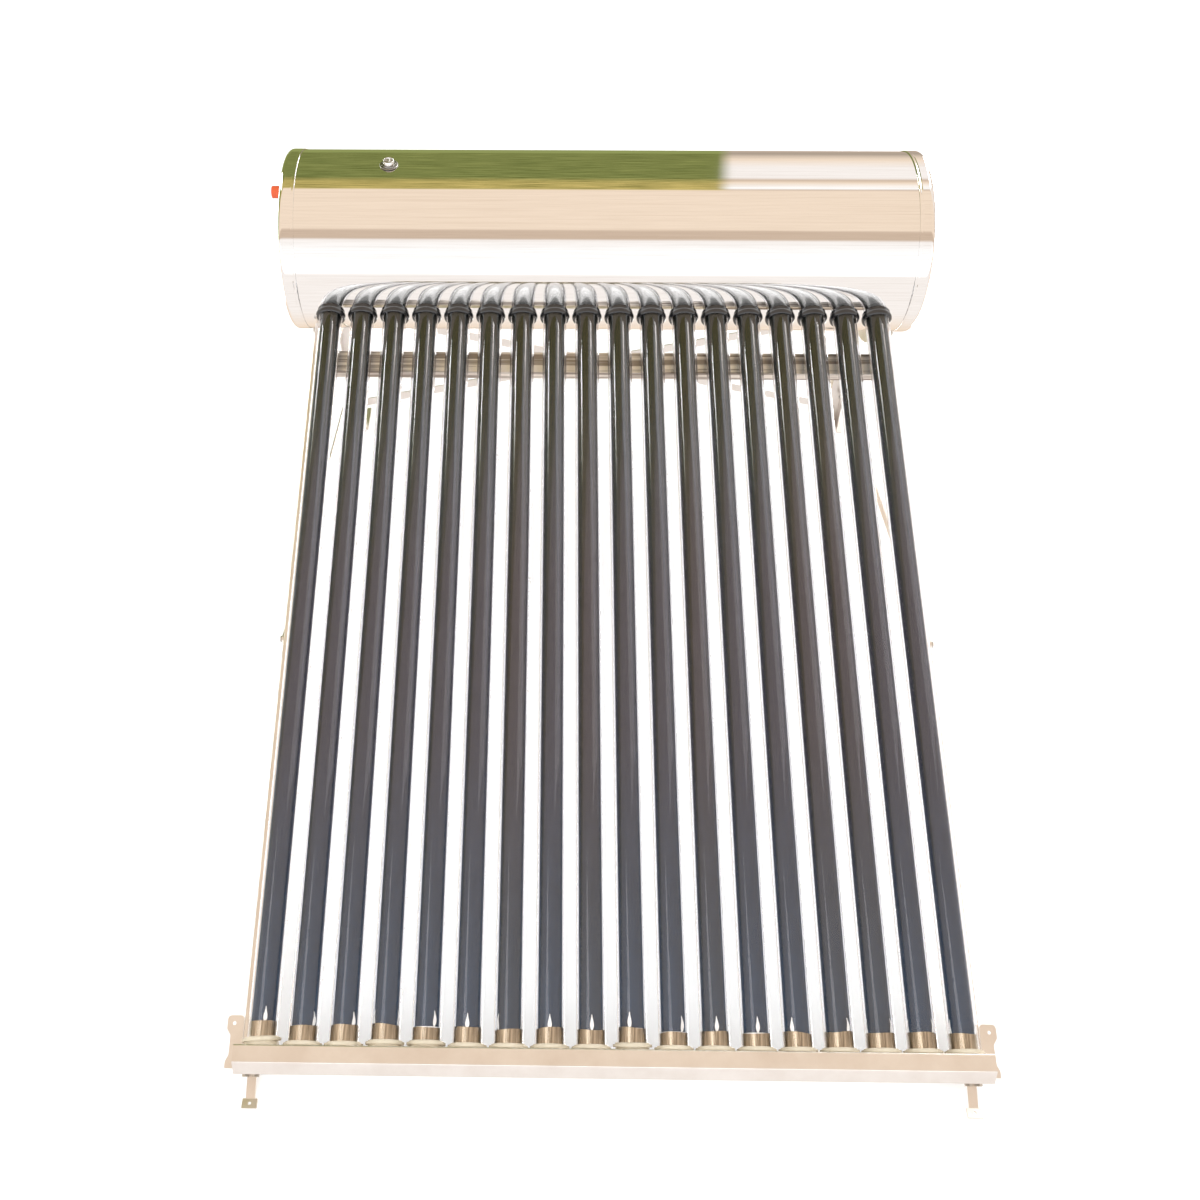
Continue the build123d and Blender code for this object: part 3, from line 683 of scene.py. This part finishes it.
# ---------------------------------------------------------------- tail cups
def build_tail_cups():
    """Moulded cups with a rolled rim and a short skirt. Some stand high or lean."""
    rim, wall, bore = 38.0 * MM, 33.0 * MM, 31.5 * MM
    web = 1950.0 * MM
    top = web - 9.0 * MM
    floor = 1968.6 * MM
    lifts = {1: 8 * MM, 4: 4 * MM, 5: 4 * MM, 10: 6 * MM}
    leans = {1: (2.0, 4.0), 10: (4.5, 0.0)}
    bm = bmesh.new()
    for number in range(1, TUBE_COUNT + 1):
        low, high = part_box(f"evacuated_tube_{number:02d}")
        outline = [(0.0, floor + 4 * MM), (wall - 2 * MM, floor + 4 * MM), (wall, floor + 2 * MM)]
        outline += [(wall, web - 0.5 * MM), (rim - 0.8 * MM, web - 0.5 * MM), (rim, web - 1.4 * MM)]
        outline += [(rim, top + 4 * MM)]
        outline += arc((rim - 3 * MM, top + 3 * MM), 3 * MM, 0, 90, 8)
        outline += [(bore + 1.5 * MM, top + 0.2 * MM), (bore, top + 1.6 * MM), (bore, floor), (0.0, floor)]
        lean_x, lean_y = leans.get(number, (0.0, 0.0))
        tilt = Matrix.Rotation(math.radians(lean_x), 4, "X") @ Matrix.Rotation(math.radians(lean_y), 4, "Y")
        place = sloped((low.x + high.x) / 2, down=-lifts.get(number, 0.0))
        place = place @ Matrix.Translation((0, 0, web)) @ tilt @ Matrix.Translation((0, 0, -web))
        lathe_into(bm, outline, 72, place)
    cups = add_object("cup_set", finish_mesh(bm, "cup_set", sharp_angle=50), None, HEATER,
                      PAINTS["cup"])
    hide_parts("tail_cups")


# ---------------------------------------------------------------- carried-over nodes
def paint_frame():
    """Materials of the CAD nodes that stay."""
    finishes = {"inner_tank": "tank", "insulation_foam": "foam", "tube_seals": "silicone",
                "port_grommets": "grommet", "frame_bolts": "bolt", "frame_nuts": "bolt",
                "upper_cross_rail": "sheet_painted_shade_bands", "brace_strip_front": "sheet_across",
                "brace_strip_rear": "sheet_across", "tube_tray": "sheet_across"}
    for end in ("left", "right"):
        for part in ("saddle", "side_rail", "rear_leg", "side_brace", "anchor_lug", "front_foot",
                     "rear_foot"):
            finishes[f"{part}_{end}"] = "sheet_down"
    for node, finish in finishes.items():
        mesh = frame["nodes"][node].data
        mesh.materials.clear()
        mesh.materials.append(PAINTS[finish])


# ---------------------------------------------------------------- stage, light and camera
def build_floor():
    """Plain pale floor."""
    bm = bmesh.new()
    bmesh.ops.create_grid(bm, x_segments=1, y_segments=1, size=20)
    floor = bpy.data.objects.new("floor", finish_mesh(bm, "floor"))
    floor.data.materials.append(moulded("pale_floor", (0.93, 0.93, 0.93), (0.91, 0.91, 0.91), (0.8, 0.9), 3.0,
                                        Emission_Color=(1, 1, 1, 1), Emission_Strength=0.22))
    floor.visible_glossy = False
    bpy.context.scene.collection.objects.link(floor)


# Colours that mirrors see around the heater
WHITE, BLACK = (1.0, 1.0, 1.0), (0.0, 0.0, 0.0)
BRIGHT, CREAM, TAN = srgb(244, 238, 234), srgb(237, 217, 196), srgb(202, 180, 160)
OLIVE, GRASS, SHADE = srgb(208, 190, 120), srgb(140, 148, 90), srgb(168, 154, 140)
DOME_STRENGTH = 1.10
WINDOW_GLARE = 10.0
HORIZON_GLARE = 1.6


def degrees_share(angle):
    """Place of an angle above the front horizon on a ramp that goes once round, from behind and below."""
    return (angle + 180) / 360


def round_stops(*pairs):
    """Stops of such a ramp, from pairs of angle and colour."""
    return [(degrees_share(angle), colour) for angle, colour in pairs]


def stretched_noise(sky, parts, share, scale_x, scale_round, detail, roughness):
    """Noise over the surroundings, with its own scale along X and round it."""
    place = sky.node("ShaderNodeCombineXYZ", X=sky.math("MULTIPLY", parts["X"], scale_x),
                     Y=sky.math("MULTIPLY", share, scale_round))
    return sky.noise(place.outputs[0], 1.0, detail, roughness)


def yard_colour(sky, parts, share):
    """Pale ground in front, a wall above it, then a lawn behind on the left and paving on the right."""
    beneath = round_stops((-140, TAN), (-120, CREAM), (-70, BRIGHT))
    behind = round_stops((-180, GRASS), (-146, GRASS)) + beneath
    fence = round_stops((-180, SHADE)) + beneath
    wall = round_stops((-12, BRIGHT), (-8, WHITE), (20, WHITE), (34, BRIGHT), (36, TAN), (46, TAN),
                       (48, CREAM), (100.5, CREAM))
    lawn = round_stops((101.5, OLIVE), (112, OLIVE), (120, GRASS))
    paving = round_stops((101.5, TAN), (104, WHITE), (113, CREAM), (117, TAN), (121, BRIGHT),
                         (140, BRIGHT), (160, CREAM), (180, SHADE))
    blades = stretched_noise(sky, parts, share, 26.0, 420.0, 4, 0.7)
    blades = sky.ramp(blades, [(0.36, (0.34, 0.38, 0.28)), (0.64, (1.1, 1.05, 1.0))])
    grassy = sky.levels(share, 0, 1, degrees_share(101), degrees_share(102))
    yard = sky.blend(grassy, sky.ramp(share, behind + wall + lawn), blades, "MULTIPLY")
    paving_edge = sky.levels(parts["X"], 0, 1, 0.118, 0.128)
    scenery = sky.blend(paving_edge, yard, sky.ramp(share, fence + wall + paving))
    planks = stretched_noise(sky, parts, share, 5.0, 260.0, 3, 0.6)
    planks = sky.ramp(planks, [(0.3, (0.90, 0.88, 0.86)), (0.5, WHITE)])
    return sky.blend(1.0, scenery, planks, "MULTIPLY")


def bright_window(sky, parts):
    """Two bright panes high behind the tank, one on each side, which draw streaks down the glass."""
    across = sky.levels(parts["X"], 0, 1, -1, 1)
    panes = sky.ramp(across, [(0.115, BLACK), (0.122, WHITE), (0.155, WHITE), (0.162, BLACK),
                              (0.70, BLACK), (0.71, WHITE), (0.77, WHITE), (0.78, BLACK)])
    return sky.math("MULTIPLY", panes, sky.levels(parts["Y"], 0, 1, 0.28, 0.36))


def build_world():
    """White dome for everything but mirrors, which see the yard, the window and a bright horizon."""
    world = bpy.data.worlds.new("studio")
    bpy.context.scene.world = world
    world.use_nodes = True
    sky = Nodes(world.node_tree)
    view = sky.node("ShaderNodeTexCoord").outputs["Generated"]
    parts = sky.node("ShaderNodeSeparateXYZ", Vector=view).outputs
    around = sky.math("ARCTAN2", parts["Z"], sky.math("MULTIPLY", parts["Y"], -1.0))
    share = sky.math("ADD", sky.math("DIVIDE", around, 2 * math.pi), 0.5)
    window = bright_window(sky, parts)
    horizon = sky.ramp(share, round_stops((-10, BLACK), (-6, WHITE), (5, WHITE), (9, BLACK)))
    mirrored = sky.node("ShaderNodeLightPath").outputs["Is Glossy Ray"]
    scenery = sky.blend(window, yard_colour(sky, parts, share), WHITE)
    colour = sky.blend(mirrored, WHITE, scenery)
    glare = sky.math("ADD", sky.math("MULTIPLY", window, WINDOW_GLARE),
                     sky.math("MULTIPLY", horizon, HORIZON_GLARE))
    strength = sky.math("ADD", DOME_STRENGTH, sky.math("MULTIPLY", mirrored, glare))
    background = sky.tree.nodes["Background"]
    sky.tree.links.new(colour, background.inputs["Color"])
    sky.tree.links.new(strength, background.inputs["Strength"])


def add_area_light(name, place, target, size, power):
    """Soft square lamp aimed at a point, left out of mirror reflections."""
    data = bpy.data.lights.new(name, "AREA")
    data.shape = "SQUARE"
    data.size = size
    data.energy = power
    lamp = bpy.data.objects.new(name, data)
    lamp.location = place
    lamp.rotation_euler = (Vector(target) - Vector(place)).to_track_quat("-Z", "Y").to_euler()
    lamp.visible_glossy = False
    bpy.context.scene.collection.objects.link(lamp)


def build_camera():
    """Camera above and in front of the tray, looking down the row."""
    data = bpy.data.cameras.new("camera")
    data.sensor_width = 36.0
    data.lens = 39.67
    data.shift_x = 0.0557
    data.shift_y = -0.0469
    camera = bpy.data.objects.new("camera", data)
    place = tank_axis + Vector((0, -2.9114, 1.9248))
    place.x = -0.1246
    pitch, heading, roll = math.radians(90 - 46.367), math.radians(1.136), math.radians(-0.383)
    turn = Matrix.Rotation(heading, 4, "Z") @ Matrix.Rotation(pitch, 4, "X") @ Matrix.Rotation(roll, 4, "Z")
    camera.matrix_world = Matrix.Translation(place) @ turn
    bpy.context.scene.collection.objects.link(camera)
    bpy.context.scene.camera = camera


build_camera()
build_world()
build_floor()
add_area_light("key", (-2.5, -3.5, 5.0), (0, 0, 0.3), 4.0, 120)
add_area_light("fill", (3.0, 1.5, 4.0), (0, 0, 0.3), 4.0, 60)
build_tubes()
build_casing()
build_end_cap(-1, "left")
build_end_cap(1, "right")
build_dust_rings()
build_ports()
build_tail_cups()
paint_frame()

bpy.context.scene.view_settings.view_transform = "Standard"
